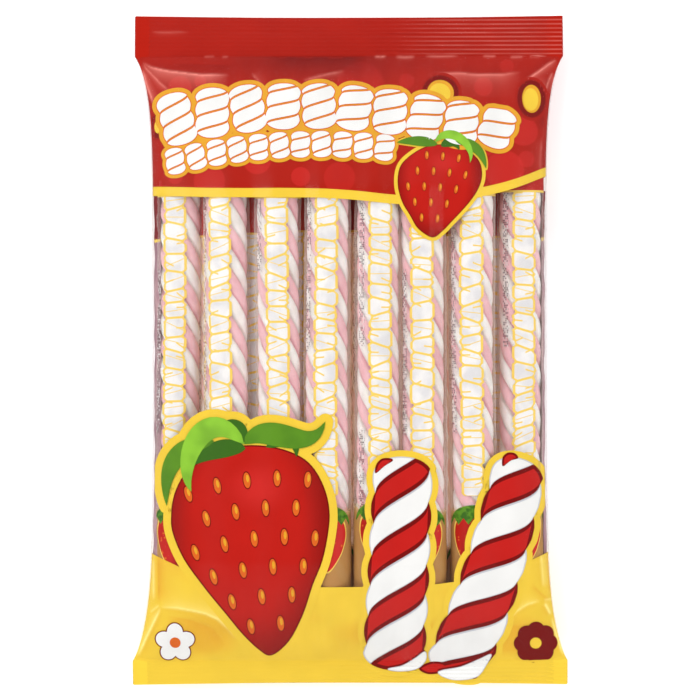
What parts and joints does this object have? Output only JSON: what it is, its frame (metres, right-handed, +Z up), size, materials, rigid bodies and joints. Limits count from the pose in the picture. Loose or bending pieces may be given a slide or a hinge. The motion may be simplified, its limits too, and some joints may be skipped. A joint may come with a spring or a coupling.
{
  "type": "sealed pack of marshmallow twists",
  "caption": "Flat pillow pack of clear and printed film, crimped shut at both ends, holding rows of individually wrapped pink and white marshmallow twists, lying front side up",
  "frame": {"origin": "on the floor, under the middle of the pack as it lies on its back", "axes": "+Z up, out of the pack's front; +Y along the pack towards its top seal; +X across the pack to the right, seen from the front"},
  "size_m": [0.1824, 0.28, 0.0434],
  "materials": {
    "printed_film": "gloss",
    "clear_film": "gloss",
    "marshmallow": "matte"
  },
  "bodies": {
    "root": {"pack": "printed_film"}
  },
  "joints": []
}
